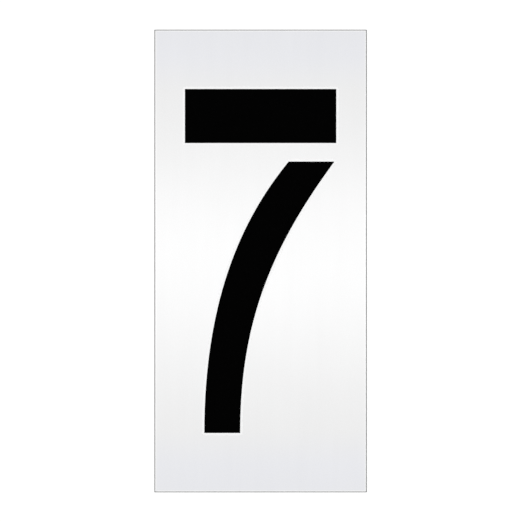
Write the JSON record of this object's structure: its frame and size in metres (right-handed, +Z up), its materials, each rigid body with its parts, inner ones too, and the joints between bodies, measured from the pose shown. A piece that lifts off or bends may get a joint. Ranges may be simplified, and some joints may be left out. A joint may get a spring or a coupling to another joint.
{
  "type": "lettering stencil",
  "caption": "Flat white plastic stencil sheet, cut through with a bar and a curved leg for marking the numeral seven, lying loose on a black backing card.",
  "frame": {"origin": "middle of the backing card's underside, which is what the object lies on", "axes": "+Z up, out of the stencil's face; +Y along the sheet's long side, towards the numeral's top; +X to the numeral's right"},
  "size_m": [0.1884, 0.4106, 0.0025],
  "materials": {
    "white_plastic": "satin",
    "black_card": "matte"
  },
  "bodies": {
    "card": {"backing_card": "black_card"},
    "stencil": {"stencil_sheet": "white_plastic"}
  },
  "joints": [
    {"name": "stencil_lift", "type": "slide", "parent": "card", "child": "stencil", "axis": [0, 0, 1], "range_m": [0, 0.08]}
  ]
}
